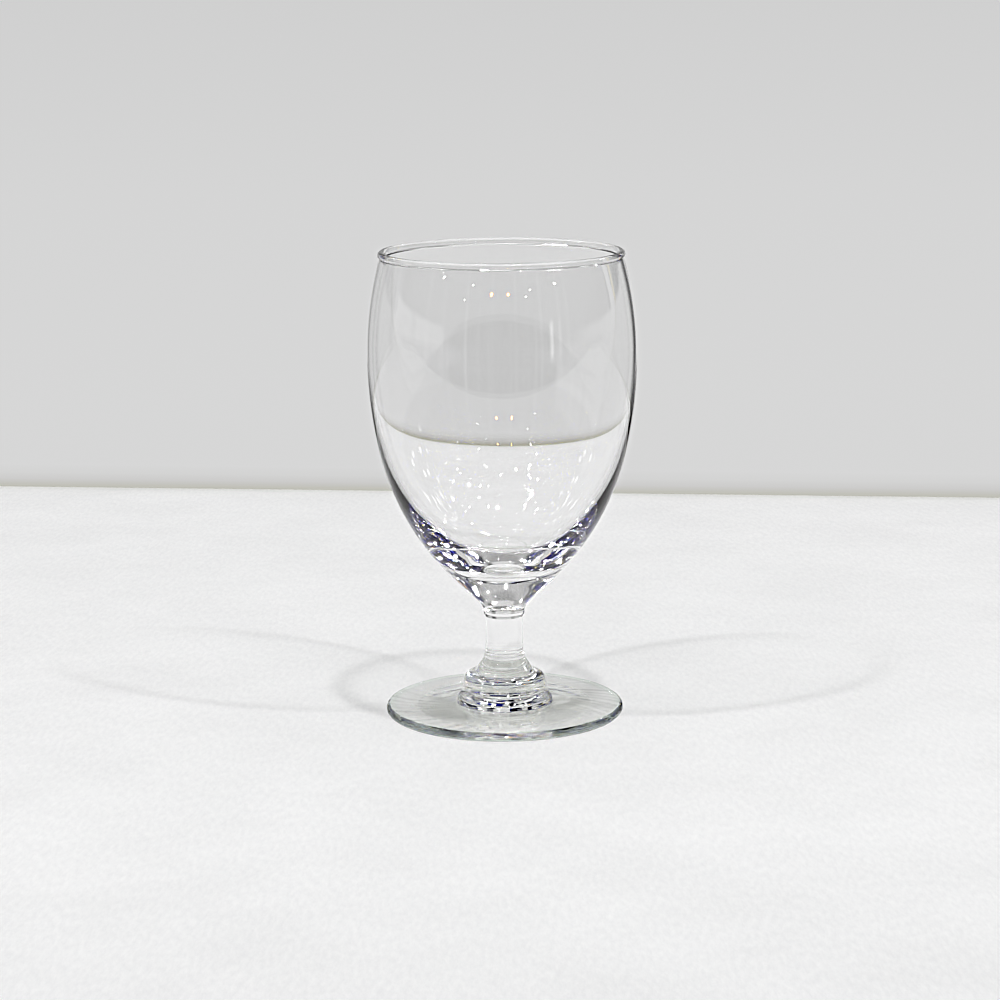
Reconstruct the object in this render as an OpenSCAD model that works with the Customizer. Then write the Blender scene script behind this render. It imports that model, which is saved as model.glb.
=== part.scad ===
// Footed water goblet in clear glass.
// Three gathers of glass fused in line: bowl, short stem, and foot with a
// stepped hub. Every outline is a chain of tangent arcs and cones, revolved
// about Z. Origin: middle of the foot's resting plane. Units: millimetres.

/* [Overall] */
// Height from the table to the top of the rim
total_h = 138; // [130:1:146]

/* [Bowl outside] */
// Widest outside radius of the bowl
belly_r = 39.45; // [38.6:0.05:40.2]
// Distance from the top of the rim down to the widest point
belly_drop = 31; // [29:0.5:33]
// Radius of the short, flat arc just above the widest point
crest_arc = 138; // [110:1:170]
// Turn of that arc, in degrees
crest_turn = 2; // [1:0.1:3]
// Radius of the arc that leads up to the rim
shoulder_arc = 98; // [88:1:120]
// Radius of the arc below the widest point
flank_arc = 124.6; // [116:0.2:134]
// Slope from the vertical where the flank arc ends, in degrees
flank_turn = 14; // [12:0.5:16]
// Radius of the arc that draws the bowl in to its base
haunch_arc = 75.3; // [72:0.1:78]
// Slope from the vertical where the haunch arc ends, in degrees
haunch_turn = 45.6; // [44:0.1:47]
// Length of the straight cone between haunch and neck
cone_l = 10.6; // [9:0.1:11.5]
// Radius of the hollow curve where the bowl meets the stem
neck_arc = 6.57; // [5.6:0.01:7.4]

/* [Bowl inside] */
// Wall thickness at the widest point
wall_t = 1.25; // [1:0.05:1.8]
// Radius of the inside arc from the widest point up to the mouth
mouth_arc = 103; // [99:1:110]
// Radius of the inside arc below the widest point
inner_flank_arc = 102; // [98:1:108]
// Slope from the vertical where that arc ends, in degrees
inner_flank_turn = 16.75; // [15.5:0.25:18]
// Radius of the inside arc that draws in to the bottom
inner_haunch_arc = 60; // [56:0.5:62]
// Slope from the vertical where the round bottom begins, in degrees
inner_haunch_turn = 40; // [38:0.5:42]

/* [Rim] */
// Radius of the fire-polished bead along the rim
bead_r = 1.1; // [0.9:0.05:1.3]
// Radius of the circle that the middle of the bead runs on
bead_at = 34.9; // [34.8:0.05:35.1]

/* [Stem] */
// Radius of the stem at its slimmest
stem_r = 5.55; // [5:0.05:5.8]
// Radius of the long, shallow hollow along the stem
stem_hollow = 150; // [100:5:400]
// Radius of the slight swelling at the seam between bowl and stem
seam_swell = 1.2; // [0.9:0.05:1.3]
// How far the swelling stands out from the axis
seam_r = 6.1; // [5.95:0.05:6.3]

/* [Foot] */
// Radius of the foot
foot_r = 35.4; // [33:0.1:38]
// Thickness of the foot's rounded edge
foot_t = 2.56; // [2.2:0.02:3]
// Height of the foot's upper face where it meets the hub
foot_rise = 3.05; // [3.02:0.01:3.4]
// Inner radius of the flat ring that the foot rests on
bearing_r = 26; // [22:0.5:29]
// Depth of the shallow dome under the foot
dome_h = 1.0; // [0.6:0.1:1.2]

/* [Hub] */
// Height of the seam between stem and hub
hub_h = 17.65; // [17.4:0.05:18]
// Radius of the collar at the top of the hub
collar_r = 6.05; // [5.95:0.05:6.3]
// Radius of the collar's rounding
collar_round = 0.85; // [0.7:0.05:0.95]
// Radius of the upper cone at its base
cone_r = 8.95; // [8.6:0.05:9.3]
// Height of the top of the middle ring, where the upper cone begins
ledge_h = 11.9; // [11.6:0.1:12.2]
// Outside radius of the middle ring
ring_r = 12.25; // [12:0.05:12.5]
// Radius of the middle ring's broad, round shoulder
ring_round = 2.6; // [2:0.1:2.7]
// Height of the underside of the middle ring
ring_low = 6.7; // [6.5:0.1:7]
// Rounding of the middle ring's lower edge
ring_edge = 0.5; // [0.3:0.05:0.6]
// Radius of the groove under the middle ring
waist_r = 11.8; // [11.5:0.05:11.8]
// Outside radius of the lower, rounded step
step_r = 14.2; // [13.9:0.05:14.5]
// Radius of the lower step's round shoulder
step_round = 2.4; // [2.2:0.05:2.5]
// Height of the middle of that shoulder's curve
step_h = 3.7; // [3.5:0.05:3.9]

/* [Hidden] */
$fn = 180;
FINE = 360;

// Unit vector from an arc's centre to the point where its tangent leans
// a degrees in from the vertical, going down.
function out(a) = [cos(a), -sin(a)];
// Direction of travel down the wall at that point.
function down(a) = [-sin(a), -cos(a)];

// Outside of the bowl, downwards from the widest point.
p0 = [belly_r, total_h - belly_drop];
c_flank = p0 - flank_arc * out(0);
p1 = c_flank + flank_arc * out(flank_turn);
c_haunch = p1 - haunch_arc * out(flank_turn);
p2 = c_haunch + haunch_arc * out(haunch_turn);
p3 = p2 + cone_l * down(haunch_turn);
c_neck = p3 + neck_arc * out(haunch_turn);
// The seam lies just above the slimmest point of the neck.
seam_h = c_neck[1] + 1.05;

// Outside of the bowl, upwards from the widest point.
c_crest = p0 - crest_arc * out(0);
p4 = c_crest + crest_arc * out(-crest_turn);
c_shoulder = p4 - shoulder_arc * out(-crest_turn);
bead_h = total_h - bead_r;

// Inside of the bowl.
q0 = [belly_r - wall_t, total_h - belly_drop];
c_mouth = q0 - mouth_arc * out(0);
c_iflank = q0 - inner_flank_arc * out(0);
q1 = c_iflank + inner_flank_arc * out(inner_flank_turn);
c_ihaunch = q1 - inner_haunch_arc * out(inner_flank_turn);
q2 = c_ihaunch + inner_haunch_arc * out(inner_haunch_turn);
// The round bottom is a sphere centred on the axis, tangent to the haunch.
bottom_arc = q2[0] / cos(inner_haunch_turn);
c_bottom = [0, q2[1] + bottom_arc * sin(inner_haunch_turn)];

// Radius of the stem at the seam with the hub.
stem_low_r = stem_r + stem_hollow - sqrt(pow(stem_hollow, 2) - pow((seam_h - hub_h) / 2, 2));
// The collar's curve ends on the stem's outline.
collar_mid = hub_h - sqrt(max(0.01, pow(collar_round, 2) - pow(stem_low_r - collar_r + collar_round, 2)));

// Radius of the ball whose cap makes the dome under the foot.
dome_ball = (bearing_r * bearing_r + dome_h * dome_h) / (2 * dome_h);

// Half-outlines drawn in the X-Y plane: X is the radius, Y the height.

// Slice of a disc between two heights, from the axis out to its rim.
module slice(c, r, lo, hi) {
    intersection() {
        translate(c) circle(r = r, $fn = FINE);
        translate([0, lo]) square([c[0] + r + 5, hi - lo]);
    }
}

// Slice from the axis out to a hollow curve.
module hollow_slice(c, r, lo, hi) {
    difference() {
        translate([0, lo]) square([c[0], hi - lo]);
        translate(c) circle(r = r, $fn = FINE);
    }
}

// Slice with a straight, sloping side between two points.
module cone_slice(a, b) {
    polygon([[0, a[1]], a, b, [0, b[1]]]);
}

module bowl_outside() {
    // Solid core that ties the slices of the base together
    translate([0, seam_h]) square([c_neck[0] - neck_arc - 0.5, 10]);
    hollow_slice(c_neck, neck_arc, seam_h, p3[1]);
    cone_slice(p3, p2);
    slice(c_haunch, haunch_arc, p2[1], p1[1]);
    slice(c_flank, flank_arc, p1[1], p0[1]);
    slice(c_crest, crest_arc, p0[1], p4[1]);
    slice(c_shoulder, shoulder_arc, p4[1], bead_h);
    seam_half(true);
}

module bowl_inside() {
    slice(c_bottom, bottom_arc, c_bottom[1] - bottom_arc - 1, q2[1]);
    slice(c_ihaunch, inner_haunch_arc, q2[1], q1[1]);
    slice(c_iflank, inner_flank_arc, q1[1], q0[1]);
    slice(c_mouth, mouth_arc, q0[1], bead_h + 1);
}

// Swelling of the fused seam, above it (bowl) or below it (stem).
module seam_half(upper) {
    intersection() {
        translate([seam_r - seam_swell, seam_h]) circle(r = seam_swell, $fn = 96);
        translate([0, upper ? seam_h : seam_h - 3]) square([seam_r + 2, 3]);
    }
}

module dome_cut() {
    intersection() {
        translate([0, dome_h - dome_ball]) circle(r = dome_ball, $fn = 720);
        translate([0, -1]) square([bearing_r, dome_h + 2]);
    }
}

module foot_outline() {
    // Disc with a fully rounded edge
    translate([foot_r - foot_t / 2, foot_t / 2]) circle(r = foot_t / 2, $fn = 96);
    polygon([[0, 0], [foot_r - foot_t / 2, 0], [foot_r - foot_t / 2, foot_t],
        [step_r, foot_rise], [0, foot_rise]]);
    // Lower step with a round shoulder
    square([step_r, step_h]);
    slice([step_r - step_round, step_h], step_round, step_h - 0.5, step_h + step_round);
    // Groove and middle ring
    square([waist_r, ring_low + ring_edge]);
    translate([0, ring_low]) square([ring_r - ring_edge, 2 * ring_edge]);
    translate([ring_r - ring_edge, ring_low + ring_edge]) circle(r = ring_edge, $fn = 64);
    translate([0, ring_low + ring_edge])
        square([ring_r, ledge_h - ring_round - ring_low - ring_edge]);
    translate([0, ring_low]) square([ring_r - ring_round, ledge_h - ring_low]);
    slice([ring_r - ring_round, ledge_h - ring_round], ring_round, ledge_h - ring_round - 0.5, ledge_h);
    // Solid core that ties the steps together
    square([stem_r - 1, hub_h - 0.3]);
    // Upper cone with an eased base edge
    polygon([[0, ledge_h], [cone_r, ledge_h], [cone_r - 0.25, ledge_h + 0.6],
        [collar_r + 0.25, collar_mid - collar_round], [0, collar_mid - collar_round]]);
    // Collar, cut off flat where the stem is fused on
    intersection() {
        union() {
            translate([0, collar_mid - collar_round])
                square([collar_r - collar_round, 2 * collar_round]);
            translate([collar_r - collar_round, collar_mid])
                circle(r = collar_round, $fn = 64);
        }
        square([collar_r + 2, hub_h]);
    }
}

module bowl() {
    color([0.87, 0.9, 0.89, 0.45])
    rotate_extrude() union() {
        difference() {
            bowl_outside();
            bowl_inside();
        }
        // Fire-polished bead along the rim
        translate([bead_at, bead_h]) circle(r = bead_r, $fn = 96);
    }
}

module stem() {
    color([0.83, 0.87, 0.86, 0.55])
    rotate_extrude() union() {
        hollow_slice([stem_r + stem_hollow, (hub_h + seam_h) / 2], stem_hollow, hub_h, seam_h);
        seam_half(false);
    }
}

module foot() {
    color([0.8, 0.86, 0.84, 0.6])
    rotate_extrude() difference() {
        foot_outline();
        dome_cut();
    }
}

bowl();
stem();
foot();
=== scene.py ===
import math

import bpy
import numpy as np
from mathutils import Matrix, Vector


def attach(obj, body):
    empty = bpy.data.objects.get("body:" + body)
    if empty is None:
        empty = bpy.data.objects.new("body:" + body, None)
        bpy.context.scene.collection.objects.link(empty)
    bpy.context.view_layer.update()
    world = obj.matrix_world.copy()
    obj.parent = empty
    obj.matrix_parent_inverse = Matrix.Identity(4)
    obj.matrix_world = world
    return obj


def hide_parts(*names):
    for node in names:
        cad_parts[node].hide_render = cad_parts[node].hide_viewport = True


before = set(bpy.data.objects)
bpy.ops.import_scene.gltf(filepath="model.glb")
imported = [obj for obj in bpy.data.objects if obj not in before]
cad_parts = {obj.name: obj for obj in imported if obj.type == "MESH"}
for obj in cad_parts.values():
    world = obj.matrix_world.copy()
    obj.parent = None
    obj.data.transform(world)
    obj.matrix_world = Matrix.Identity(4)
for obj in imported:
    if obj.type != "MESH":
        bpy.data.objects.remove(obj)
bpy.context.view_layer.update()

scene = bpy.context.scene
MM = 0.001


# ---------------------------------------------------------------------------
# Outline of the whole glass, in millimetres: (r, z) points from the middle of
# the underside, round the foot, up the outside, over the rim and down inside.
# The numbers are those of the construction model.
# ---------------------------------------------------------------------------
TOTAL_H = 138.0
BELLY_R, BELLY_Z = 39.45, 107.0
CREST_ARC, CREST_TURN, SHOULDER_ARC = 138.0, 2.0, 98.0
FLANK_ARC, FLANK_TURN = 124.6, 14.0
HAUNCH_ARC, HAUNCH_TURN = 75.3, 45.6
CONE_L, NECK_ARC = 10.6, 6.57
WALL_T, MOUTH_ARC = 1.25, 103.0
IN_FLANK_ARC, IN_FLANK_TURN = 102.0, 16.75
IN_HAUNCH_ARC, IN_HAUNCH_TURN = 60.0, 40.0
BEAD_R, BEAD_AT = 1.1, 34.9
STEM_R, STEM_HOLLOW, SEAM_SWELL, SEAM_R = 5.55, 150.0, 1.2, 6.1
FOOT_R, FOOT_T, FOOT_RISE, BEARING_R, DOME_H = 35.4, 2.56, 3.05, 26.0, 1.0
HUB_H, COLLAR_R, COLLAR_ROUND = 17.65, 6.05, 0.85
CONE_R, LEDGE_H, RING_R, RING_ROUND = 8.95, 11.9, 12.25, 2.6
RING_LOW, RING_EDGE = 6.7, 0.5
WAIST_R, STEP_R, STEP_ROUND, STEP_H = 11.8, 14.2, 2.4, 3.7


def out(a):
    a = math.radians(a)
    return np.array([math.cos(a), -math.sin(a)])


def down(a):
    a = math.radians(a)
    return np.array([-math.sin(a), -math.cos(a)])


def arc(c, r, a0, a1, step=0.05):
    """Points on a circle from angle a0 to a1, in degrees, counter-clockwise if a1 is larger."""
    n = max(3, int(abs(math.radians(a1 - a0)) * r / step))
    a = np.radians(np.linspace(a0, a1, n))
    return np.c_[c[0] + r * np.cos(a), c[1] + r * np.sin(a)]


def outline():
    p0 = np.array([BELLY_R, BELLY_Z])
    c_flank = p0 - FLANK_ARC * out(0)
    p1 = c_flank + FLANK_ARC * out(FLANK_TURN)
    c_haunch = p1 - HAUNCH_ARC * out(FLANK_TURN)
    p2 = c_haunch + HAUNCH_ARC * out(HAUNCH_TURN)
    p3 = p2 + CONE_L * down(HAUNCH_TURN)
    c_neck = p3 + NECK_ARC * out(HAUNCH_TURN)
    seam_h = c_neck[1] + 1.05
    c_crest = p0 - CREST_ARC * out(0)
    p4 = c_crest + CREST_ARC * out(-CREST_TURN)
    c_shoulder = p4 - SHOULDER_ARC * out(-CREST_TURN)
    bead_h = TOTAL_H - BEAD_R

    q0 = np.array([BELLY_R - WALL_T, BELLY_Z])
    c_mouth = q0 - MOUTH_ARC * out(0)
    c_iflank = q0 - IN_FLANK_ARC * out(0)
    q1 = c_iflank + IN_FLANK_ARC * out(IN_FLANK_TURN)
    c_ihaunch = q1 - IN_HAUNCH_ARC * out(IN_FLANK_TURN)
    q2 = c_ihaunch + IN_HAUNCH_ARC * out(IN_HAUNCH_TURN)
    bottom = q2[0] / math.cos(math.radians(IN_HAUNCH_TURN))
    c_bottom = np.array([0.0, q2[1] + bottom * math.sin(math.radians(IN_HAUNCH_TURN))])

    pts = []
    # Underside: shallow dome, flat bearing ring, rounded edge
    ball = (BEARING_R ** 2 + DOME_H ** 2) / (2 * DOME_H)
    r = np.linspace(0, BEARING_R, 300)
    pts.append(np.c_[r, DOME_H - ball + np.sqrt(ball ** 2 - r ** 2)])
    half = FOOT_T / 2
    pts.append(arc((FOOT_R - half, half), half, -90, 90))
    # Upper face of the disc, in to the low step
    pts.append(np.array([[STEP_R, FOOT_RISE], [STEP_R, STEP_H]]))
    top = math.degrees(math.acos((WAIST_R - STEP_R + STEP_ROUND) / STEP_ROUND)) \
        if abs(WAIST_R - STEP_R + STEP_ROUND) < STEP_ROUND else 90
    pts.append(arc((STEP_R - STEP_ROUND, STEP_H), STEP_ROUND, 0, top))
    # Groove and middle ring
    pts.append(np.array([[WAIST_R, RING_LOW]]))
    pts.append(arc((RING_R - RING_EDGE, RING_LOW + RING_EDGE), RING_EDGE, -60, 0))
    pts.append(arc((RING_R - RING_ROUND, LEDGE_H - RING_ROUND), RING_ROUND, 0, 90))
    # Ledge and upper cone
    pts.append(np.array([[CONE_R, LEDGE_H], [CONE_R - 0.25, LEDGE_H + 0.6],
                         [COLLAR_R + 0.25, 16.1]]))
    # Collar, cut where the stem meets it
    stem_mid = (HUB_H + seam_h) / 2
    r_low = STEM_R + STEM_HOLLOW - math.sqrt(STEM_HOLLOW ** 2 - (HUB_H - stem_mid) ** 2)
    cc = COLLAR_R - COLLAR_ROUND
    rise = math.degrees(math.acos((r_low - cc) / COLLAR_ROUND))
    c_collar = HUB_H - COLLAR_ROUND * math.sin(math.radians(rise))
    pts.append(arc((cc, c_collar), COLLAR_ROUND, -20, rise))
    # Stem, seam swelling and neck as one curve r(z)
    z = np.arange(HUB_H, p3[1], 0.05)
    stem = STEM_R + STEM_HOLLOW - np.sqrt(STEM_HOLLOW ** 2 - (z - stem_mid) ** 2)
    neck = c_neck[0] - np.sqrt(np.maximum(NECK_ARC ** 2 - (z - c_neck[1]) ** 2, 0))
    base = np.where(z < c_neck[1], np.minimum(stem, stem), neck)
    # the stem hands over to the neck curve behind the swelling
    w = np.clip((z - (seam_h - 0.3)) / 0.6, 0, 1)
    base = stem * (1 - w) + neck * w
    swell = SEAM_R - SEAM_SWELL + np.sqrt(np.maximum(SEAM_SWELL ** 2 - (z - seam_h) ** 2, 0))
    swell = np.where(abs(z - seam_h) < SEAM_SWELL, swell, 0)
    k = 0.08
    r = np.where(swell > 0, k * np.log(np.exp((base - 5) / k) + np.exp((swell - 5) / k)) + 5, base)
    r = np.where(abs(z - seam_h) < SEAM_SWELL * 0.98, r, base)
    pts.append(np.c_[r, z])
    # Cone, haunch, flank, crest, shoulder
    pts.append(np.linspace(p3, p2, 60))
    pts.append(arc(c_haunch, HAUNCH_ARC, -HAUNCH_TURN, -FLANK_TURN, 0.2))
    pts.append(arc(c_flank, FLANK_ARC, -FLANK_TURN, 0, 0.2))
    pts.append(arc(c_crest, CREST_ARC, 0, CREST_TURN, 0.2))
    top_z = bead_h - 0.95
    a_top = math.degrees(math.asin((top_z - c_shoulder[1]) / SHOULDER_ARC))
    pts.append(arc(c_shoulder, SHOULDER_ARC, CREST_TURN, a_top, 0.2))
    # Bead
    pts.append(arc((BEAD_AT, bead_h), BEAD_R, -52, 236))
    # Inside
    a_in = math.degrees(math.asin((top_z - 0.1 - q0[1]) / MOUTH_ARC))
    pts.append(arc(c_mouth, MOUTH_ARC, a_in, 0, 0.2))
    pts.append(arc(c_iflank, IN_FLANK_ARC, 0, -IN_FLANK_TURN, 0.2))
    pts.append(arc(c_ihaunch, IN_HAUNCH_ARC, -IN_FLANK_TURN, -IN_HAUNCH_TURN, 0.2))
    floor = arc(c_bottom, bottom, -IN_HAUNCH_TURN, -90, 0.05)
    # faint ring that the plunger leaves on the bottom of the bowl
    floor[:, 1] += 0.26 * np.exp(-((floor[:, 0] - 6.9) / 0.42) ** 2)
    pts.append(floor)
    return np.vstack(pts), seam_h


def resample(p, step):
    d = np.r_[0, np.cumsum(np.hypot(*np.diff(p, axis=0).T))]
    keep = np.r_[True, np.diff(d) > 1e-9]
    p, d = p[keep], d[keep]
    s = np.linspace(0, d[-1], int(d[-1] / step) + 1)
    return np.c_[np.interp(s, d, p[:, 0]), np.interp(s, d, p[:, 1])], s


def soften(p, sigma, step):
    """Rounds the outline's corners as fire-polishing does: a Gaussian along the arc length, mirrored at the axis."""
    n = int(4 * sigma / step)
    k = np.exp(-0.5 * (np.arange(-n, n + 1) * step / sigma) ** 2)
    k /= k.sum()
    head, tail = p[1:n + 1][::-1] * [-1, 1], p[-n - 1:-1][::-1] * [-1, 1]
    q = np.vstack([head, p, tail])
    return np.c_[np.convolve(q[:, 0], k, "valid"), np.convolve(q[:, 1], k, "valid")]


def thin(p, turn, most, least):
    """Keeps points so that the outline turns by at most turn degrees, and runs at most `most` mm, between them."""
    t = np.diff(p, axis=0)
    ang = np.unwrap(np.arctan2(t[:, 1], t[:, 0]))
    ang = np.r_[ang[0], ang]
    d = np.r_[0, np.cumsum(np.hypot(*t.T))]
    keep, last = [0], 0
    for i in range(1, len(p)):
        if d[i] - d[last] < least:
            continue
        if abs(ang[i] - ang[last]) > math.radians(turn) or d[i] - d[last] >= most:
            keep.append(i)
            last = i
    if keep[-1] != len(p) - 1:
        keep.append(len(p) - 1)
    return p[keep]


raw, SEAM_H = outline()
STEP = 0.02
fine, _ = resample(raw, STEP)
fine = soften(fine, 0.13, STEP)
fine[0, 0] = fine[-1, 0] = 0.0


def cross(z, lo_i, hi_i):
    """Index where the outline first passes height z between two indices, with an exact point put there."""
    seg = fine[lo_i:hi_i, 1]
    i = lo_i + int(np.argmax(seg >= z))
    a, b = fine[i - 1], fine[i]
    t = (z - a[1]) / (b[1] - a[1])
    return i, a + t * (b - a)


rim_i = int(np.argmax(fine[:, 1]))
start = int(np.argmax(np.where(np.arange(len(fine)) < rim_i, fine[:, 0] * (fine[:, 1] < 5), 0)))
i_hub, p_hub = cross(HUB_H, start, rim_i)
i_seam, p_seam = cross(SEAM_H, start, rim_i)


def piece_line(a, b):
    body = np.vstack([a, b]) if len(b) else a
    return body


foot_line = np.vstack([fine[:i_hub], p_hub])
stem_line = np.vstack([p_hub, fine[i_hub:i_seam], p_seam])
bowl_line = np.vstack([p_seam, fine[i_seam:]])


def wave(a, terms):
    return sum(np.sin(k * a + f) / n ** 0.5 for n, (k, f) in enumerate(terms, 1))


def press_marks(p, a):
    """Ripples of a pressed foot: (dr, dz) in mm round the ring at the outline's point p."""
    r, z = p
    dr, dz = np.zeros_like(a), np.zeros_like(a)
    if r > 19 and z < 3.4:
        k = min(1.0, (r - 19) / 6)
        if z > FOOT_T / 2:
            dz = k * 0.010 * wave(a + 0.02 * r, ((7, 0.3), (13, 2.1), (22, 4.0), (37, 1.2), (53, 5.1)))
        dr = k * 0.025 * wave(a, ((9, 1.0), (17, 3.3), (29, 0.2), (43, 2.7), (67, 4.4)))
    elif r > 2 and z < 2:
        dz = min(1.0, (r - 2) / 5) * 0.012 * wave(a - 0.03 * r, ((5, 0.9), (8, 2.5), (13, 4.1)))
    return dr, dz


def lathe(name, line, caps, turn, most, around=288, marks=None):
    """Closed body of revolution. caps: heights of flat fused faces at the line's start and end, or None where the line ends on the axis."""
    p = thin(line, turn, most, 0.03)
    # a hair-thin last strip keeps the shading normals true right up to a seam
    if caps[0] is not None and np.hypot(*(p[1] - p[0])) > 0.06:
        p = np.insert(p, 1, p[0] + (p[1] - p[0]) * 0.04 / np.hypot(*(p[1] - p[0])), axis=0)
    if caps[1] is not None and np.hypot(*(p[-1] - p[-2])) > 0.06:
        p = np.insert(p, len(p) - 1, p[-1] + (p[-2] - p[-1]) * 0.04 / np.hypot(*(p[-1] - p[-2])), axis=0)
    a = np.linspace(0, 2 * math.pi, around, endpoint=False)
    ca, sa = np.cos(a), np.sin(a)
    verts, rings = [], []
    for r, z in p:
        if r < 1e-6:
            rings.append([len(verts)])
            verts.append((0.0, 0.0, z * MM))
        else:
            i = len(verts)
            rings.append(list(range(i, i + around)))
            dr, dz = marks((r, z), a) if marks else (0 * a, 0 * a)
            verts += [((r + e) * c * MM, (r + e) * s * MM, (z + h) * MM) for c, s, e, h in zip(ca, sa, dr, dz)]
    faces, slots = [], []

    def band(u, v, slot):
        for j in range(around):
            k = (j + 1) % around
            if len(u) == 1:
                f = (u[0], v[k], v[j])
            elif len(v) == 1:
                f = (u[j], u[k], v[0])
            else:
                f = (u[j], u[k], v[k], v[j])
            faces.append(f)
            slots.append(slot)

    for u, v in zip(rings, rings[1:]):
        band(u, v, 0)
    sharp = []
    if caps[0] is not None:
        c = len(verts)
        verts.append((0.0, 0.0, p[0][1] * MM))
        band([c], rings[0], 1)
        sharp.append(rings[0])
    if caps[1] is not None:
        c = len(verts)
        verts.append((0.0, 0.0, p[-1][1] * MM))
        band(rings[-1], [c], 1)
        sharp.append(rings[-1])
    me = bpy.data.meshes.new(name)
    me.from_pydata(verts, [], faces)
    me.polygons.foreach_set("material_index", slots)
    me.polygons.foreach_set("use_smooth", [True] * len(faces))
    ring_sets = [set(r) for r in sharp]
    for e in me.edges:
        x, y = e.vertices
        if any(x in s and y in s for s in ring_sets):
            e.use_edge_sharp = True
    me.update()
    ob = bpy.data.objects.new(name, me)
    scene.collection.objects.link(ob)
    print(name, "rings", len(p), "faces", len(faces), "r", p[:, 0].max(), "z", p[:, 1].min(), p[:, 1].max())
    return ob


bowl = lathe("goblet_bowl", bowl_line, (SEAM_H, None), 1.6, 0.75)
stem = lathe("goblet_stem", stem_line, (HUB_H, SEAM_H), 1.6, 0.4)
foot = lathe("goblet_foot", foot_line, (None, HUB_H), 1.6, 0.6, around=432, marks=press_marks)


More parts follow.
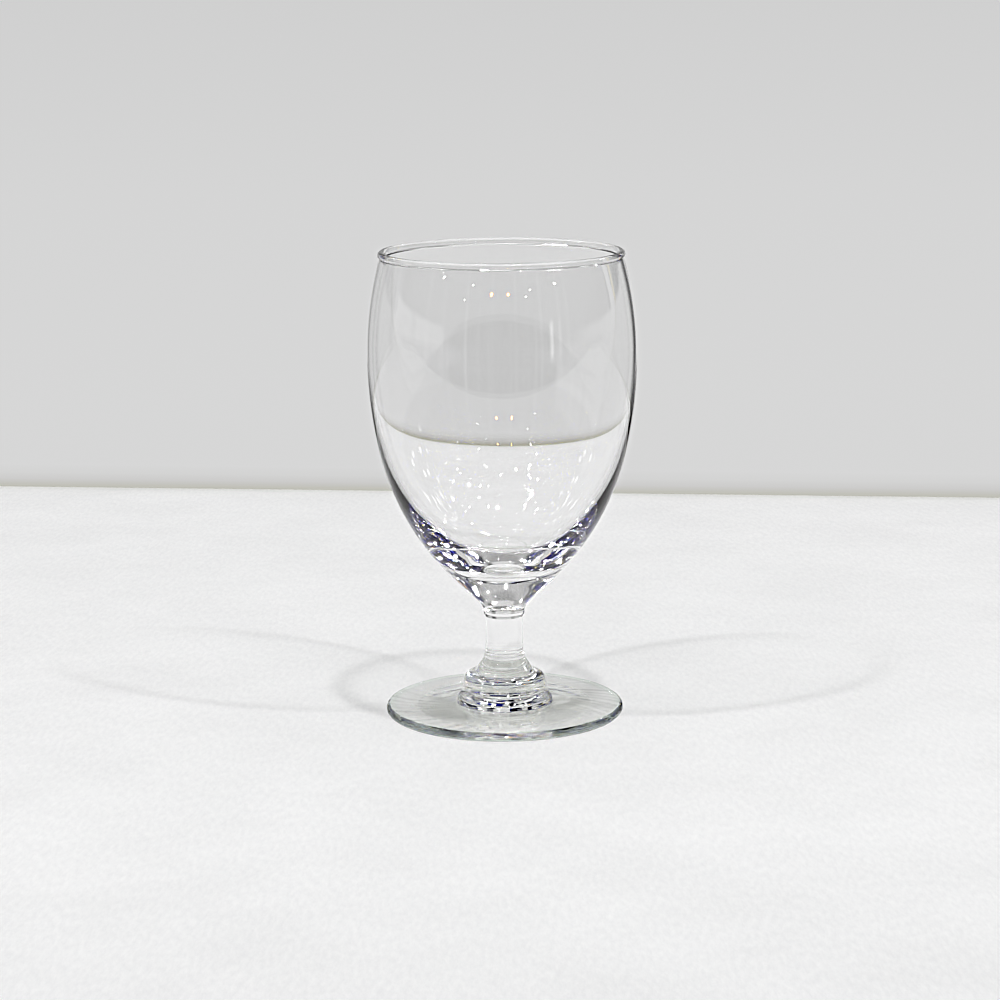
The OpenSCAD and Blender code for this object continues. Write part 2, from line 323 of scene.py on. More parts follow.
# ---------------------------------------------------------------------------
# Materials
# ---------------------------------------------------------------------------
def glass(name, colour, peel, peel_scale, haze, tall=1.0, uneven=None, edge=None):
    m = bpy.data.materials.new(name)
    m.use_nodes = True
    nt = m.node_tree
    nt.nodes.clear()
    outp = nt.nodes.new("ShaderNodeOutputMaterial")
    p = nt.nodes.new("ShaderNodeBsdfPrincipled")
    p.inputs["Base Color"].default_value = (*colour, 1)
    p.inputs["IOR"].default_value = 1.52
    p.inputs["Transmission Weight"].default_value = 1.0
    co = nt.nodes.new("ShaderNodeTexCoord")
    if edge:
        # Beyond a given radius the light has a long way through the glass, which tints it
        flat = nt.nodes.new("ShaderNodeVectorMath")
        flat.operation = "MULTIPLY"
        flat.inputs[1].default_value = (1, 1, 0)
        nt.links.new(co.outputs["Object"], flat.inputs[0])
        far = nt.nodes.new("ShaderNodeVectorMath")
        far.operation = "LENGTH"
        nt.links.new(flat.outputs[0], far.inputs[0])
        tint = nt.nodes.new("ShaderNodeValToRGB")
        e = tint.color_ramp.elements
        e[0].position, e[0].color = edge[0], (*colour, 1)
        e[1].position, e[1].color = edge[0] + 0.0008, (*edge[1], 1)
        nt.links.new(far.outputs["Value"], tint.inputs["Fac"])
        nt.links.new(tint.outputs["Color"], p.inputs["Base Color"])
    # Slow swell of fire-polished glass
    n1 = nt.nodes.new("ShaderNodeTexNoise")
    n1.inputs["Scale"].default_value = peel_scale
    n1.inputs["Detail"].default_value = 1.5
    n1.inputs["Roughness"].default_value = 0.4
    mp = nt.nodes.new("ShaderNodeMapping")
    mp.inputs["Scale"].default_value = (1.0, 1.0, tall)
    nt.links.new(co.outputs["Object"], mp.inputs["Vector"])
    nt.links.new(mp.outputs["Vector"], n1.inputs["Vector"])
    b = nt.nodes.new("ShaderNodeBump")
    b.inputs["Strength"].default_value = 1.0
    b.inputs["Distance"].default_value = peel
    nt.links.new(n1.outputs["Fac"], b.inputs["Height"])
    normal = b.outputs["Normal"]
    if uneven:
        # Small waves where the glass is thickest: between two heights, of a given depth and number to the metre
        low, high, depth, count = uneven
        sep = nt.nodes.new("ShaderNodeSeparateXYZ")
        nt.links.new(co.outputs["Object"], sep.inputs[0])
        mask = nt.nodes.new("ShaderNodeValToRGB")
        e = mask.color_ramp.elements
        e[0].position, e[0].color = low, (0, 0, 0, 1)
        e[1].position, e[1].color = high, (0, 0, 0, 1)
        for at in (low + 0.004, high - 0.012):
            x = e.new(at)
            x.color = (1, 1, 1, 1)
        nt.links.new(sep.outputs["Z"], mask.inputs["Fac"])
        n3 = nt.nodes.new("ShaderNodeTexNoise")
        n3.inputs["Scale"].default_value = count
        n3.inputs["Detail"].default_value = 1.0
        nt.links.new(co.outputs["Object"], n3.inputs["Vector"])
        mul = nt.nodes.new("ShaderNodeMath")
        mul.operation = "MULTIPLY"
        nt.links.new(n3.outputs["Fac"], mul.inputs[0])
        nt.links.new(mask.outputs["Color"], mul.inputs[1])
        b3 = nt.nodes.new("ShaderNodeBump")
        b3.inputs["Strength"].default_value = 1.0
        b3.inputs["Distance"].default_value = depth
        nt.links.new(mul.outputs[0], b3.inputs["Height"])
        nt.links.new(normal, b3.inputs["Normal"])
        normal = b3.outputs["Normal"]
    nt.links.new(normal, p.inputs["Normal"])
    # Faint haze from handling: patches a little less polished
    n2 = nt.nodes.new("ShaderNodeTexNoise")
    n2.inputs["Scale"].default_value = 60.0
    n2.inputs["Detail"].default_value = 6.0
    n2.inputs["Roughness"].default_value = 0.6
    nt.links.new(co.outputs["Object"], n2.inputs["Vector"])
    mr = nt.nodes.new("ShaderNodeMapRange")
    mr.inputs["From Min"].default_value = 0.55
    mr.inputs["From Max"].default_value = 0.85
    mr.inputs["To Min"].default_value = 0.0
    mr.inputs["To Max"].default_value = haze
    nt.links.new(n2.outputs["Fac"], mr.inputs["Value"])
    nt.links.new(mr.outputs["Result"], p.inputs["Roughness"])
    # Lamps and soft bounce light pass the glass, dimmed where they graze it
    lp = nt.nodes.new("ShaderNodeLightPath")
    mx = nt.nodes.new("ShaderNodeMath")
    mx.operation = "MAXIMUM"
    nt.links.new(lp.outputs["Is Shadow Ray"], mx.inputs[0])
    nt.links.new(lp.outputs["Is Diffuse Ray"], mx.inputs[1])
    lw = nt.nodes.new("ShaderNodeLayerWeight")
    lw.inputs["Blend"].default_value = 0.5
    ramp = nt.nodes.new("ShaderNodeValToRGB")
    e = ramp.color_ramp.elements
    e[0].position, e[0].color = 0.0, (0.985, 0.985, 0.985, 1)
    e[1].position, e[1].color = 1.0, (0.0, 0.0, 0.0, 1)
    mid = ramp.color_ramp.elements.new(0.6)
    mid.color = (0.93, 0.933, 0.93, 1)
    mid2 = ramp.color_ramp.elements.new(0.85)
    mid2.color = (0.5, 0.51, 0.5, 1)
    nt.links.new(lw.outputs["Facing"], ramp.inputs["Fac"])
    tr = nt.nodes.new("ShaderNodeBsdfTransparent")
    nt.links.new(ramp.outputs["Color"], tr.inputs["Color"])
    mix = nt.nodes.new("ShaderNodeMixShader")
    nt.links.new(mx.outputs[0], mix.inputs[0])
    nt.links.new(p.outputs[0], mix.inputs[1])
    nt.links.new(tr.outputs[0], mix.inputs[2])
    nt.links.new(mix.outputs[0], outp.inputs["Surface"])
    return m


def seam():
    m = bpy.data.materials.new("fused_seam")
    m.use_nodes = True
    nt = m.node_tree
    nt.nodes.clear()
    outp = nt.nodes.new("ShaderNodeOutputMaterial")
    tr = nt.nodes.new("ShaderNodeBsdfTransparent")
    nt.links.new(tr.outputs[0], outp.inputs["Surface"])
    return m


m_bowl = glass("bowl_glass", (1.0, 1.0, 1.0), 1.5e-5, 70.0, 0.012, tall=0.2, uneven=(0.040, 0.066, 3e-6, 650.0))
m_stem = glass("stem_glass", (1.0, 1.0, 1.0), 2e-6, 160.0, 0.01)
m_foot = glass("foot_glass", (0.996, 1.0, 0.994), 1e-5, 90.0, 0.012, edge=(0.0338, (0.87, 0.94, 0.88)))
m_seam = seam()
for ob, m, node in ((bowl, m_bowl, "bowl"), (stem, m_stem, "stem"), (foot, m_foot, "foot")):
    ob.data.materials.append(m)
    ob.data.materials.append(m_seam)
    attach(ob, "root")
    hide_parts(node)


# ---------------------------------------------------------------------------
# Stage: a plain pale table top whose far edge runs a little askew, and a shade behind it
# ---------------------------------------------------------------------------
class Nodes:
    """Small helper that joins math nodes."""

    def __init__(self, nt):
        self.nt = nt

    def put(self, socket, value):
        if isinstance(value, (int, float)):
            socket.default_value = value
        else:
            self.nt.links.new(value, socket)

    def math(self, op, *args):
        n = self.nt.nodes.new("ShaderNodeMath")
        n.operation = op
        for s, v in zip(n.inputs, args):
            self.put(s, v)
        return n.outputs[0]

    def step(self, value, lo, hi):
        """0 below lo, 1 above hi, smooth between."""
        n = self.nt.nodes.new("ShaderNodeMapRange")
        n.interpolation_type = "SMOOTHSTEP"
        self.put(n.inputs["Value"], value)
        n.inputs["From Min"].default_value = lo
        n.inputs["From Max"].default_value = hi
        return n.outputs["Result"]

    def window(self, value, lo, hi, soft):
        return self.math("MULTIPLY", self.step(value, lo - soft, lo + soft),
                         self.math("SUBTRACT", 1.0, self.step(value, hi - soft, hi + soft)))

    def ramp(self, value, lo, hi, stops):
        """Grey or coloured ramp over a value that runs from lo to hi."""
        fac = self.math("DIVIDE", self.math("SUBTRACT", value, lo), hi - lo)
        n = self.nt.nodes.new("ShaderNodeValToRGB")
        self.put(n.inputs["Fac"], fac)
        e = n.color_ramp.elements
        stops = [(p, v if isinstance(v, tuple) else (v, v, v)) for p, v in stops]
        e[0].position, e[0].color = (stops[0][0] - lo) / (hi - lo), (*stops[0][1], 1)
        e[1].position, e[1].color = (stops[-1][0] - lo) / (hi - lo), (*stops[-1][1], 1)
        for p, v in stops[1:-1]:
            x = e.new((p - lo) / (hi - lo))
            x.color = (*v, 1)
        return n.outputs["Color"]

    def mix(self, fac, a, b, kind="MIX"):
        n = self.nt.nodes.new("ShaderNodeMix")
        n.data_type = "RGBA"
        n.blend_type = kind
        self.put(n.inputs[0], fac)
        for s, v in ((n.inputs[6], a), (n.inputs[7], b)):
            if isinstance(v, tuple):
                s.default_value = (*v, 1)
            else:
                self.nt.links.new(v, s)
        return n.outputs[2]


FRONT = -0.41


def back(x):
    return 0.335 - 0.1 * (x + 0.0047)


def cloth():
    m = bpy.data.materials.new("cloth")
    m.use_nodes = True
    nt = m.node_tree
    p = nt.nodes["Principled BSDF"]
    p.inputs["Roughness"].default_value = 0.95
    p.inputs["Specular IOR Level"].default_value = 0.1
    co = nt.nodes.new("ShaderNodeTexCoord")
    # brushed nap: short fibres that lean one way
    mp = nt.nodes.new("ShaderNodeMapping")
    mp.inputs["Rotation"].default_value = (0, 0, math.radians(35))
    mp.inputs["Scale"].default_value = (1.0, 0.30, 1.0)
    nt.links.new(co.outputs["Object"], mp.inputs["Vector"])
    n1 = nt.nodes.new("ShaderNodeTexNoise")
    n1.inputs["Scale"].default_value = 720.0
    n1.inputs["Detail"].default_value = 3.0
    n1.inputs["Roughness"].default_value = 0.6
    nt.links.new(mp.outputs["Vector"], n1.inputs["Vector"])
    # creases left by folding and smoothing the cloth
    n2 = nt.nodes.new("ShaderNodeTexNoise")
    n2.inputs["Scale"].default_value = 22.0
    n2.inputs["Detail"].default_value = 4.0
    n2.inputs["Roughness"].default_value = 0.55
    nt.links.new(co.outputs["Object"], n2.inputs["Vector"])
    ramp = nt.nodes.new("ShaderNodeValToRGB")
    e = ramp.color_ramp.elements
    e[0].position, e[0].color = 0.30, (0.84, 0.84, 0.845, 1)
    e[1].position, e[1].color = 0.70, (0.895, 0.895, 0.895, 1)
    nt.links.new(n1.outputs["Fac"], ramp.inputs["Fac"])
    # the cloth turns down, into shade, along the table's far edge
    sep = nt.nodes.new("ShaderNodeSeparateXYZ")
    nt.links.new(co.outputs["Object"], sep.inputs[0])
    k = Nodes(nt)
    inset = k.math("SUBTRACT", back(0), k.math("ADD", sep.outputs["Y"], k.math("MULTIPLY", sep.outputs["X"], 0.1)))
    shade = k.ramp(inset, 0.0, 0.02, [
        (0.0, (0.82, 0.82, 0.775)), (0.003, (0.88, 0.88, 0.86)), (0.007, (0.955, 0.955, 0.945)), (0.013, (0.99, 0.99, 0.985)),
        (0.02, (1.0, 1.0, 1.0))])
    x, y = sep.outputs["X"], sep.outputs["Y"]
    far = k.math("SQRT", k.math("ADD", k.math("MULTIPLY", x, x), k.math("MULTIPLY", y, y)))
    # painted shadow of the hub: the cloth is darker in a ring about 9 to 34 mm from the glass's axis, darkest from 14
    # to 22 mm
    ring = k.ramp(far, 0.0, 0.04, [
        (0.0, (1.0, 1.0, 1.0)), (0.009, (1.0, 1.0, 1.0)), (0.014, (0.83, 0.84, 0.81)), (0.022, (0.83, 0.84, 0.81)),
        (0.028, (0.94, 0.945, 0.93)), (0.034, (1.0, 1.0, 1.0))])
    shade = k.mix(1.0, shade, ring, "MULTIPLY")
    # painted shade: the cloth is a little darker in the hollows of the creases, where the crease noise is low
    crease_shade = k.ramp(n2.outputs["Fac"], 0.0, 1.0, [(0.0, 0.965), (0.36, 0.965), (0.62, 1.0), (1.0, 1.0)])
    shade = k.mix(1.0, shade, crease_shade, "MULTIPLY")
    # light falls off towards the near side
    near = k.ramp(y, -0.41, 0.0, [(-0.41, 0.93), (-0.23, 0.95), (-0.11, 1.0), (0.0, 1.0)])
    shade = k.mix(1.0, shade, near, "MULTIPLY")
    nt.links.new(k.mix(1.0, ramp.outputs["Color"], shade, "MULTIPLY"), p.inputs["Base Color"])
    b = nt.nodes.new("ShaderNodeBump")
    b.inputs["Strength"].default_value = 0.5
    b.inputs["Distance"].default_value = 0.00012
    nt.links.new(n1.outputs["Fac"], b.inputs["Height"])
    b2 = nt.nodes.new("ShaderNodeBump")
    b2.inputs["Strength"].default_value = 0.5
    b2.inputs["Distance"].default_value = 0.004
    nt.links.new(n2.outputs["Fac"], b2.inputs["Height"])
    nt.links.new(b.outputs["Normal"], b2.inputs["Normal"])
    nt.links.new(b2.outputs["Normal"], p.inputs["Normal"])
    return m


def table():
    xs = np.linspace(-2.5, 2.5, 11)
    top = -5e-5
    rows = [[(x, back(x) + 0.002, -0.6) for x in xs], [(x, back(x), top) for x in xs],
            [(x, FRONT, top) for x in xs], [(x, FRONT - 0.002, -0.6) for x in xs]]
    n = len(xs)
    faces = [(r * n + n + j, r * n + n + j + 1, r * n + j + 1, r * n + j)
             for r in range(3) for j in range(n - 1)]
    me = bpy.data.meshes.new("table_cloth")
    me.from_pydata([v for row in rows for v in row], [], faces)
    me.update()
    ob = bpy.data.objects.new("table_cloth", me)
    scene.collection.objects.link(ob)
    me.materials.append(cloth())


def gap():
    """Painted shade: a soft dark line, a tinted see-through strip, where the wall goes down behind the table's far
    edge.
    """
    xs = np.linspace(-2.5, 2.5, 11)
    zs = (-0.012, 0.010)
    n = len(xs)
    verts = [(x, back(x) + 0.004, z) for z in zs for x in xs]
    faces = [(j, j + 1, n + j + 1, n + j) for j in range(n - 1)]
    me = bpy.data.meshes.new("edge_shade")
    me.from_pydata(verts, [], faces)
    me.update()
    ob = bpy.data.objects.new("edge_shade", me)
    ob.visible_diffuse = False
    ob.visible_shadow = False
    scene.collection.objects.link(ob)
    m = bpy.data.materials.new("edge_shade")
    m.use_nodes = True
    nt = m.node_tree
    nt.nodes.clear()
    outp = nt.nodes.new("ShaderNodeOutputMaterial")
    co = nt.nodes.new("ShaderNodeTexCoord")
    sep = nt.nodes.new("ShaderNodeSeparateXYZ")
    nt.links.new(co.outputs["Object"], sep.inputs[0])
    mr = nt.nodes.new("ShaderNodeMapRange")
    mr.inputs["From Min"].default_value = 0.0
    mr.inputs["From Max"].default_value = 0.009
    nt.links.new(sep.outputs["Z"], mr.inputs["Value"])
    ramp = nt.nodes.new("ShaderNodeValToRGB")
    e = ramp.color_ramp.elements
    e[0].position, e[0].color = 0.0, (0.83, 0.825, 0.77, 1)
    e[1].position, e[1].color = 1.0, (1, 1, 1, 1)
    for pos, v in ((0.12, (0.85, 0.845, 0.81, 1)), (0.3, (0.905, 0.90, 0.89, 1)), (0.6, (0.965, 0.965, 0.96, 1))):
        x = e.new(pos)
        x.color = v
    nt.links.new(mr.outputs["Result"], ramp.inputs["Fac"])
    # the bowl draws the line together, so the painted shade is made darker through the glass
    lp = nt.nodes.new("ShaderNodeLightPath")
    k = Nodes(nt)
    through = k.math("GREATER_THAN", lp.outputs["Transmission Depth"], 0.5)
    twice = k.mix(through, ramp.outputs["Color"], k.mix(1.0, ramp.outputs["Color"], ramp.outputs["Color"], "MULTIPLY"))
    tr = nt.nodes.new("ShaderNodeBsdfTransparent")
    nt.links.new(twice, tr.inputs["Color"])
    nt.links.new(tr.outputs[0], outp.inputs["Surface"])
    me.materials.append(m)


table()
gap()


# ---------------------------------------------------------------------------
# Surroundings: the camera sees a plain pale wall. The glass also mirrors and
# bends the rest of the room: dim sides, dark floor, ceiling with many lamps.
# ---------------------------------------------------------------------------
def surroundings():
    w = bpy.data.worlds.new("room")
    scene.world = w
    w.use_nodes = True
    w.cycles.sampling_method = "NONE"
    nt = w.node_tree
    nt.nodes.clear()
    k = Nodes(nt)
    outp = nt.nodes.new("ShaderNodeOutputWorld")
    bg = nt.nodes.new("ShaderNodeBackground")
    co = nt.nodes.new("ShaderNodeTexCoord")
    sep = nt.nodes.new("ShaderNodeSeparateXYZ")
    nt.links.new(co.outputs["Generated"], sep.inputs[0])
    x, y, z = sep.outputs
    deg = 180 / math.pi
    az = k.math("MULTIPLY", k.math("ARCTAN2", x, y), deg)
    el = k.math("MULTIPLY", k.math("ARCSINE", z), deg)
    # walls, by direction round the room: 0 is straight ahead, 90 to the right
    walls = k.ramp(az, -180, 180, [
        (-180, 0.05), (-130, 0.05), (-126, 0.70), (-100, 0.78), (-98, 0.35), (-95, 0.78), (-74, 0.72), (-70, 0.30),
        (-66, 0.55), (-40, 0.60), (-24, 0.62), (-21, 0.42), (-15, 0.42), (-13, 0.66), (16, 0.66), (19, 0.20),
        (26, 0.16), (30, 0.58), (75, 0.60), (100, 0.50), (116, 0.10), (126, 0.05), (180, 0.05)])
    # the backdrop is tall ahead and low at the sides
    high = k.ramp(az, -180, 180, [
        (-180, 0.10), (-126, 0.10), (-82, 0.12), (-74, 0.14), (-46, 0.16), (-40, 0.30), (38, 0.30), (46, 0.05),
        (130, 0.04), (180, 0.04)])
    # pale ceiling over the table, dark hall behind the viewer
    side = k.math("ABSOLUTE", az)
    ahead = k.ramp(el, 0, 90, [
        (0, 0.60), (12, 0.62), (15, 0.42), (21, 0.40), (26, 0.54), (40, 0.52), (44, 0.20), (54, 0.20), (58, 0.30),
        (90, 0.34)])
    behind = k.ramp(el, 0, 90, [(0, 0.02), (30, 0.03), (52, 0.05), (62, 0.30), (90, 0.34)])
    ceiling = k.mix(k.step(k.math("ABSOLUTE", k.math("ADD", az, 14.0)), 56, 66), ahead, behind)
    top = k.math("SUBTRACT", k.math("DIVIDE", el, 50.0), high)
    room = k.mix(k.step(top, -0.01, 0.03), walls, ceiling)
    # dark floor in front of the table, between its near edge and the horizon
    floor = k.math("MULTIPLY", k.step(side, 78, 92), k.math("SUBTRACT", 1.0, k.step(el, -1.2, -0.4)))
    lp = nt.nodes.new("ShaderNodeLightPath")
    turns, passes = lp.outputs["Glossy Depth"], lp.outputs["Transmission Depth"]
    u = k.math("DIVIDE", k.math("SUBTRACT", 180.0, side), 48.0)
    v = k.math("DIVIDE", k.math("ADD", el, 8.0), 7.0)
    core = k.step(k.math("ADD", k.math("MULTIPLY", u, u), k.math("MULTIPLY", v, v)), 0.93, 1.07)
    once = k.math("MULTIPLY", k.window(turns, 0.5, 1.5, 0.1), core)
    room = k.mix(floor, room, k.mix(once, (0.03, 0.03, 0.032), (0.30, 0.30, 0.31)))
    # ceiling lamps on a loose grid; blue is bent a little further than red and green
    h = k.math("MAXIMUM", z, 0.02)
    px, py = k.math("DIVIDE", x, h), k.math("DIVIDE", y, h)

    # light that has wound its way through the solid base comes from the dark hall with its lamps
    near = k.math("LESS_THAN", side, 74.0)
    wound = k.math("MULTIPLY", k.math("GREATER_THAN", turns, 2.5), k.math("MULTIPLY", k.window(el, 4.0, 50.0, 1.0), near))
    wound = k.math("MULTIPLY", wound, k.math("SUBTRACT", 1.0, k.math("MULTIPLY", k.math("LESS_THAN", side, 16.0), k.math("LESS_THAN", el, 18.0))))
    comb = nt.nodes.new("ShaderNodeCombineXYZ")
    nt.links.new(k.math("DIVIDE", az, 2.6), comb.inputs[0])
    nt.links.new(k.math("DIVIDE", el, 3.4), comb.inputs[1])
    vo = nt.nodes.new("ShaderNodeTexVoronoi")
    vo.voronoi_dimensions = "2D"
    vo.inputs["Scale"].default_value = 1.0
    nt.links.new(comb.outputs[0], vo.inputs["Vector"])
    parts = nt.nodes.new("ShaderNodeSeparateColor")
    nt.links.new(vo.outputs["Color"], parts.inputs[0])
    flecks = k.ramp(parts.outputs[0], 0.0, 1.0, [
        (0.0, (0.004, 0.004, 0.012)), (0.40, (0.015, 0.02, 0.12)), (0.62, (0.10, 0.10, 0.16)), (0.76, (0.02, 0.06, 0.75)),
        (0.81, (1.0, 0.55, 0.12)), (0.84, (1.6, 1.6, 1.6)), (0.94, (0.004, 0.004, 0.012)), (1.0, (0.004, 0.004, 0.012))])
    flecks.node.color_ramp.interpolation = "CONSTANT"
    room = k.mix(wound, room, flecks)
    room = k.mix(k.math("GREATER_THAN", turns, 2.5), room, k.mix(1.0, room, (0.0, 0.0, 0.065), "LIGHTEN"))

    def grid(shift, scale=3.0, inner=0.06, outer=0.095):
        comb = nt.nodes.new("ShaderNodeCombineXYZ")
        nt.links.new(k.math("MULTIPLY", px, shift), comb.inputs[0])
        nt.links.new(k.math("MULTIPLY", py, shift), comb.inputs[1])
        vo = nt.nodes.new("ShaderNodeTexVoronoi")
        vo.voronoi_dimensions = "2D"
        vo.inputs["Scale"].default_value = scale
        vo.inputs["Randomness"].default_value = 0.7
        nt.links.new(comb.outputs[0], vo.inputs["Vector"])
        return k.math("SUBTRACT", 1.0, k.step(vo.outputs["Distance"], inner, outer))

    where = k.math("MULTIPLY", k.window(el, 11.0, 33.0, 1.5), k.window(side, 76.0, 150.0, 2.0))
    # a single mirror image, as in the flat of the foot, isn't split into colours
    flat = k.math("MULTIPLY", k.math("LESS_THAN", turns, 1.5), k.math("LESS_THAN", passes, 2.5))
    where = k.math("MULTIPLY", where, k.math("SUBTRACT", 1.0, flat))
    red = k.math("MAXIMUM", k.math("MULTIPLY", grid(0.988), where), k.math("MULTIPLY", grid(0.99, 4.6, 0.04, 0.065), wound))
    blue = k.math("MAXIMUM", k.math("MULTIPLY", grid(1.012), where), k.math("MULTIPLY", grid(1.01, 4.6, 0.04, 0.065), wound))
    tint = nt.nodes.new("ShaderNodeCombineColor")
    nt.links.new(k.math("MULTIPLY", red, 5.0), tint.inputs[0])
    nt.links.new(k.math("MULTIPLY", red, 4.6), tint.inputs[1])
    nt.links.new(k.math("MULTIPLY", blue, 5.6), tint.inputs[2])
    room = k.mix(1.0, room, tint.outputs[0], "ADD")
    # light that turned once under the hub's steps is broken up into facets, with the colours of a prism
    comb = nt.nodes.new("ShaderNodeCombineXYZ")
    nt.links.new(k.math("DIVIDE", az, 5.0), comb.inputs[0])
    nt.links.new(k.math("DIVIDE", el, 12.0), comb.inputs[1])
    vo = nt.nodes.new("ShaderNodeTexVoronoi")
    vo.voronoi_dimensions = "2D"
    vo.inputs["Scale"].default_value = 1.0
    nt.links.new(comb.outputs[0], vo.inputs["Vector"])
    parts = nt.nodes.new("ShaderNodeSeparateColor")
    nt.links.new(vo.outputs["Color"], parts.inputs[0])
    facets = k.ramp(parts.outputs[0], 0.0, 1.0, [
        (0.0, (0.008, 0.010, 0.020)), (0.38, (0.03, 0.05, 0.24)), (0.50, (0.20, 0.20, 0.22)), (0.60, (0.60, 0.60, 0.58)),
        (0.70, (0.95, 0.80, 0.25)), (0.75, (1.2, 1.2, 1.2)), (0.88, (0.02, 0.02, 0.03)), (1.0, (0.02, 0.02, 0.03))])
    facets.node.color_ramp.interpolation = "CONSTANT"
    bent = k.math("MULTIPLY", k.window(turns, 0.5, 1.5, 0.1), k.math("GREATER_THAN", passes, 1.5))
    bent = k.math("MULTIPLY", bent, k.math("MULTIPLY", k.window(el, 3.0, 60.0, 1.0), near))
    level = k.math("MULTIPLY", k.math("LESS_THAN", side, 4.0), k.math("LESS_THAN", el, 24.0))
    level = k.math("MAXIMUM", level, k.math("MULTIPLY", k.math("LESS_THAN", side, 12.0), k.math("LESS_THAN", el, 3.0)))
    bent = k.math("MULTIPLY", bent, k.math("SUBTRACT", 1.0, level))
    bent = k.math("MULTIPLY", bent, k.math("LESS_THAN", passes, 2.5))
    room = k.mix(bent, room, facets)
    # lamps over the far end of the hall: streaks low in the bowl, and dots along every rounded edge
    comb = nt.nodes.new("ShaderNodeCombineXYZ")
    nt.links.new(k.math("DIVIDE", az, 12.0), comb.inputs[0])
    nt.links.new(k.math("DIVIDE", el, 8.0), comb.inputs[1])
    vo = nt.nodes.new("ShaderNodeTexVoronoi")
    vo.voronoi_dimensions = "2D"
    vo.inputs["Scale"].default_value = 1.0
    nt.links.new(comb.outputs[0], vo.inputs["Vector"])
    streaks = k.math("SUBTRACT", 1.0, k.step(vo.outputs["Distance"], 0.12, 0.19))
    streaks = k.math("MULTIPLY", streaks, k.math("MULTIPLY", k.window(turns, 0.5, 1.5, 0.1), k.math("GREATER_THAN", passes, 3.5)))
    streaks = k.math("MULTIPLY", streaks, k.math("MULTIPLY", k.window(el, 9.0, 42.0, 1.0), k.window(side, 34.0, 88.0, 2.0)))
    edges = k.math("MULTIPLY", k.math("LESS_THAN", turns, 0.5), k.math("GREATER_THAN", passes, 0.5))
    edges = k.math("MULTIPLY", edges, k.math("MULTIPLY", k.window(el, 24.0, 60.0, 1.0), grid(1.0, 3.0, 0.10, 0.14)))
    room = k.mix(k.math("MAXIMUM", streaks, edges), room, (5.0, 5.0, 5.0))

    # upright things in the hall behind the viewer: door posts, bright gaps
    def spikes(points):
        stops = [(-180.0, 0.0)]
        for at, wide, level in points:
            stops += [(at - wide, 0.0), (at, level), (at + wide, 0.0)]
        return k.ramp(az, -180, 180, stops + [(180.0, 0.0)])

    posts = k.mix(1.0, spikes(((-172, 1.2, 0.5), (-160, 1.0, 0.3), (-149, 1.6, 0.6), (-128, 1.2, 0.4), (-112, 1.5, 0.5),
                               (121, 1.2, 0.4), (129, 1.5, 0.5), (146, 1.4, 0.6), (158, 1.0, 0.4), (168, 1.4, 0.6))),
                  k.window(el, -45.0, 30.0, 8.0), "MULTIPLY")
    posts = k.mix(1.0, posts, (0.6, 0.6, 0.6), "MULTIPLY")
    gap_light = k.mix(1.0, spikes(((129, 0.7, 1.2), (137, 1.3, 3.5))), k.window(el, -4.0, 7.0, 1.5), "MULTIPLY")
    gap_light = k.mix(k.step(passes, 2.5, 3.5), gap_light, (0.0, 0.0, 0.0))
    room = k.mix(1.0, k.mix(1.0, room, posts, "ADD"), gap_light, "ADD")
    # straight through the thin wall, the glass shows the same pale wall from any side
    plain = k.math("LESS_THAN", lp.outputs["Glossy Depth"], 0.5)
    plain = k.math("MULTIPLY", plain, k.step(side, 58, 72))
    plain = k.math("MULTIPLY", plain, k.math("SUBTRACT", 1.0, k.step(el, 20, 34)))
    wall = k.ramp(el, -90, 90, [(-90, 0.66), (-9, 0.675), (-5, 0.665), (0, 0.625), (10, 0.60), (90, 0.60)])
    room = k.mix(plain, room, wall)
    # what the camera sees, and what soft light falls on the cloth
    room = k.mix(lp.outputs["Is Camera Ray"], room, wall)
    soft = k.ramp(el, -90, 90, [(-90, 0.36), (-2, 0.36), (0, 0.46), (90, 0.55)])
    room = k.mix(lp.outputs["Is Diffuse Ray"], room, soft)
    nt.links.new(room, bg.inputs["Color"])
    bg.inputs["Strength"].default_value = 1.0
    nt.links.new(bg.outputs[0], outp.inputs["Surface"])


surroundings()


def lamp(name, place, aim, power, size, shape="DISK", seen=True, lights=True, colour=(1, 1, 1)):
    d = bpy.data.lights.new(name, "AREA")
    d.energy = power
    d.color = colour
    d.shape = shape
    d.size = size
    ob = bpy.data.objects.new(name, d)
    ob.location = place
    v = Vector(aim) - Vector(place)
    ob.rotation_mode = "QUATERNION"
    ob.rotation_quaternion = v.to_track_quat("-Z", "Y")
    ob.visible_camera = False
    ob.visible_glossy = seen
    ob.visible_transmission = seen
    ob.visible_diffuse = lights
    scene.collection.objects.link(ob)
    return ob


# Three ceiling lamps stand out: each throws the bowl's faint ring of shadow
aim = (0, 0, 0.1)
lamp("lamp_left", (1.92, -1.17, 2.5), aim, 18.3, 0.12)
lamp("lamp_right", (-1.5, -0.92, 2.5), aim, 16.8, 0.13)
lamp("lamp_top", (0.25, -0.61, 2.5), aim, 13.8, 0.13)
lamp("soft_front", (-0.6, -1.6, 2.0), aim, 4.5, 1.2, shape="SQUARE", seen=False)

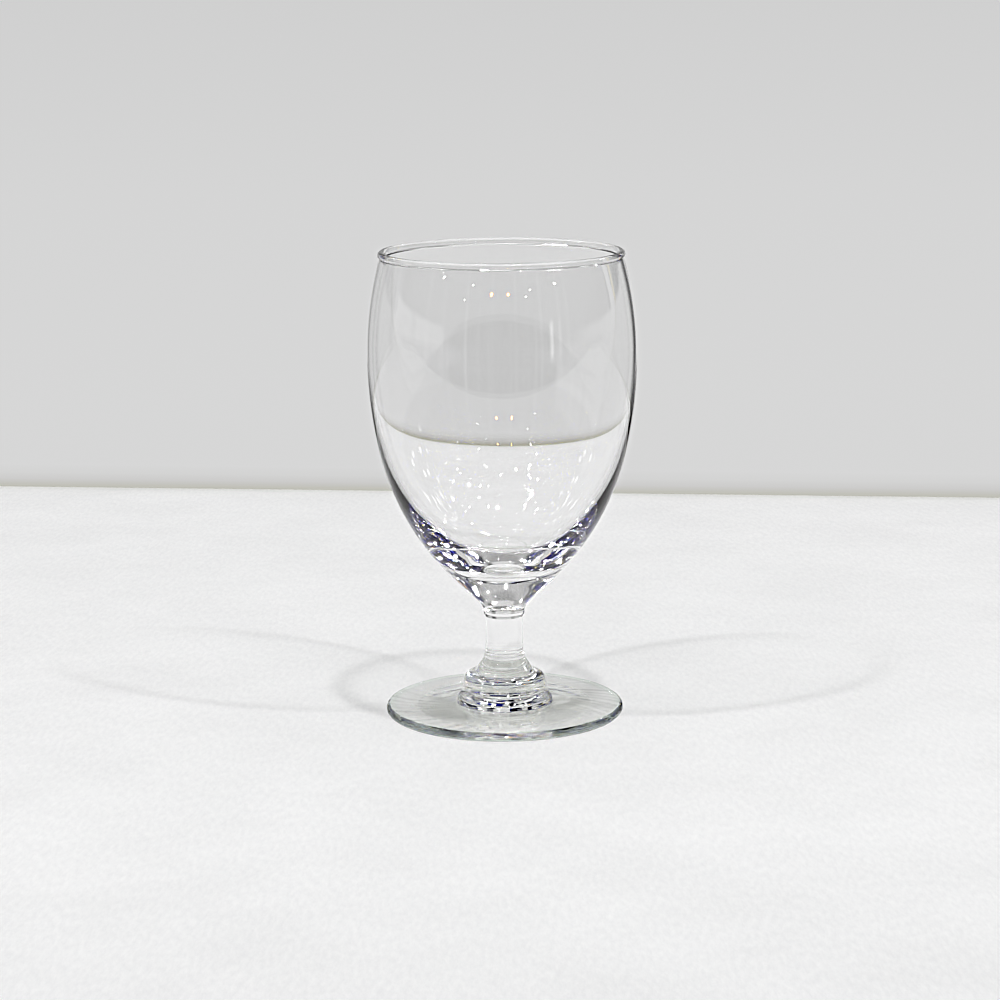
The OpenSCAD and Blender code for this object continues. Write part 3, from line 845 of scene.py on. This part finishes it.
# The other ceiling lamps only sparkle in the glass
for i, (px, py) in enumerate((
        (-0.70, -3.05), (-0.82, -2.36), (1.22, -2.45), (1.18, -3.2), (-1.75, -2.3), (-1.8, -3.15), (4.15, -1.1),
        (-2.95, -0.65), (-3.2, -1.95), (-3.25, -3.15), (-3.35, 0.8), (-1.65, 0.07), (0.35, 0.0), (-0.54, -0.13),
        (-0.37, 1.05), (4.45, 0.3), (-4.65, -0.05), (2.1, 0.1), (1.3, 1.2), (-1.7, 1.3), (0.4, 2.2), (2.3, 1.3),
        (-0.6, 3.0), (1.5, 3.2), (-2.6, 2.4), (3.2, -3.1), (3.0, -0.6), (3.3, -2.0), (2.7, 2.5), (3.5, 1.0),
        (1.9, -1.5), (0.8, -1.7), (5.3, -2.2), (2.2, -3.7), (4.8, 1.9), (-4.4, 1.9), (0.2, -4.0), (-5.2, -1.9),
        (1.2, 4.4), (-1.8, 4.2), (5.8, 0.2), (-5.9, 0.6),
        (1.91, -3.13), (0.26, -2.87), (-2.36, -3.69), (2.37, -0.33), (-1.37, -1.19), (1.67, -0.1),
        (3.13, -0.05), (2.94, -1.45), (0.06, -2.21),
        (-2.44, -2.74), (-3.27, -1.19), (-1.58, -1.63), (-1.04, -0.61), (-2.32, -2), (2.85, 0.38))):
    lamp(f"spark_{i}", (px, py, 2.5), (px * 0.4, py * 0.4, 0), (0.35, 2.2, 0.5, 0.8, 2.2)[i % 5], (0.035, 0.05, 0.042, 0.055, 0.085)[i % 5],
         lights=False)

# Lamps far behind the viewer; two of them are warm
warm, cool = (1.0, 0.45, 0.10), (1.0, 1.0, 1.0)
for i, (px, py, colour) in enumerate((
        (-1.18, -7.3, warm), (0.76, -7.35, warm), (-2.89, -5.77, cool), (3.1, -6.4, cool), (2.95, -7.4, cool),
        (-4.8, -7.4, cool), (8.2, -7.5, cool), (1.57, -4.5, cool), (-2.5, -4.2, cool), (-1.2, -4.3, cool),
        (4.3, -3.3, cool), (5.4, -4.5, cool), (-5.5, -3.7, cool), (-0.12, 4.6, cool))):
    size = 0.15 if colour is warm else 0.075
    lamp(f"far_{i}", (px, py, 2.5), (0, 0, 0.1), 190 * size ** 2, size, lights=False, colour=colour)


# ---------------------------------------------------------------------------
# Camera at the photo's viewing angle
# ---------------------------------------------------------------------------
def camera():
    d = bpy.data.cameras.new("camera")
    d.sensor_fit = "HORIZONTAL"
    d.sensor_width = 36.0
    d.lens = 2731.6 / 1000 * 36.0
    d.clip_start, d.clip_end = 0.05, 50
    ob = bpy.data.objects.new("camera", d)
    ob.location = (-0.00096, -0.7908, 0.2237)
    pitch = math.radians(11.414)
    aim = Matrix.Rotation(math.pi / 2 - pitch, 4, "X")
    roll = Matrix.Rotation(math.radians(-0.458), 4, "Z")
    ob.rotation_mode = "QUATERNION"
    ob.rotation_quaternion = (aim @ roll).to_quaternion()
    scene.collection.objects.link(ob)
    scene.camera = ob


camera()

scene.view_settings.view_transform = "Standard"
scene.view_settings.look = "None"
scene.view_settings.exposure = 0.0
scene.view_settings.gamma = 1.0
c = scene.cycles
c.max_bounces = 32
c.transmission_bounces = 32
c.glossy_bounces = 16
c.diffuse_bounces = 4
c.transparent_max_bounces = 32
c.caustics_reflective = False
c.caustics_refractive = False
c.blur_glossy = 0.0
c.sample_clamp_indirect = 0.0
c.sample_clamp_direct = 0.0
c.use_adaptive_sampling = False
c.use_denoising = True
c.denoiser = "OPENIMAGEDENOISE"
c.denoising_input_passes = "RGB_ALBEDO_NORMAL"
c.denoising_prefilter = "ACCURATE"



# ---------------------------------------------------------------------------
# Finish of the picture: lamp glow, a firm tone curve and crisp edges
# ---------------------------------------------------------------------------
def develop():
    scene.use_nodes = True
    nt = scene.node_tree
    nt.nodes.clear()
    layers = nt.nodes.new("CompositorNodeRLayers")
    final = nt.nodes.new("CompositorNodeComposite")

    def mix(kind, fac, a, b):
        n = nt.nodes.new("CompositorNodeMixRGB")
        n.blend_type = kind
        n.inputs[0].default_value = fac
        for s, v in ((n.inputs[1], a), (n.inputs[2], b)):
            if isinstance(v, float):
                s.default_value = (v, v, v, 1)
            else:
                nt.links.new(v, s)
        return n.outputs[0]

    def blur(a, size):
        n = nt.nodes.new("CompositorNodeBlur")
        n.filter_type = "GAUSS"
        n.inputs["Size"].default_value = [size] * len(n.inputs["Size"].default_value)
        nt.links.new(a, n.inputs[0])
        return n.outputs[0]

    def gamma(a, value):
        n = nt.nodes.new("CompositorNodeGamma")
        n.inputs[1].default_value = value
        nt.links.new(a, n.inputs[0])
        return n.outputs[0]

    def crisp(a, size, amount):
        return mix("ADD", amount, a, mix("SUBTRACT", 1.0, a, blur(a, size)))

    image = layers.outputs["Image"]
    glow = mix("DARKEN", 1.0, mix("LIGHTEN", 1.0, mix("SUBTRACT", 1.0, image, 1.0), 0.0), 5.0)
    image = mix("ADD", GLOW, image, blur(glow, GLOW_SIZE))
    image = gamma(image, 1 / 2.2)
    tone = nt.nodes.new("CompositorNodeCurveRGB")
    curve = tone.mapping.curves[3]
    curve.points[0].location = (0.0, 0.0)
    curve.points[1].location = (1.0, 1.0)
    for x, y in TONE:
        curve.points.new(x, y)
    tone.mapping.use_clip = False
    tone.mapping.update()
    nt.links.new(image, tone.inputs["Image"])
    image = mix("DARKEN", 1.0, tone.outputs[0], 1.08)
    image = crisp(image, 10.0, 0.25)
    image = crisp(image, 2.5, 0.6)
    nt.links.new(gamma(image, 2.2), final.inputs["Image"])


GLOW, GLOW_SIZE = 0.3, 3.5
TONE = ((0.30, 0.18), (0.39, 0.29), (0.50, 0.42), (0.60, 0.55), (0.71, 0.69), (0.82, 0.82), (0.93, 0.93))
develop()
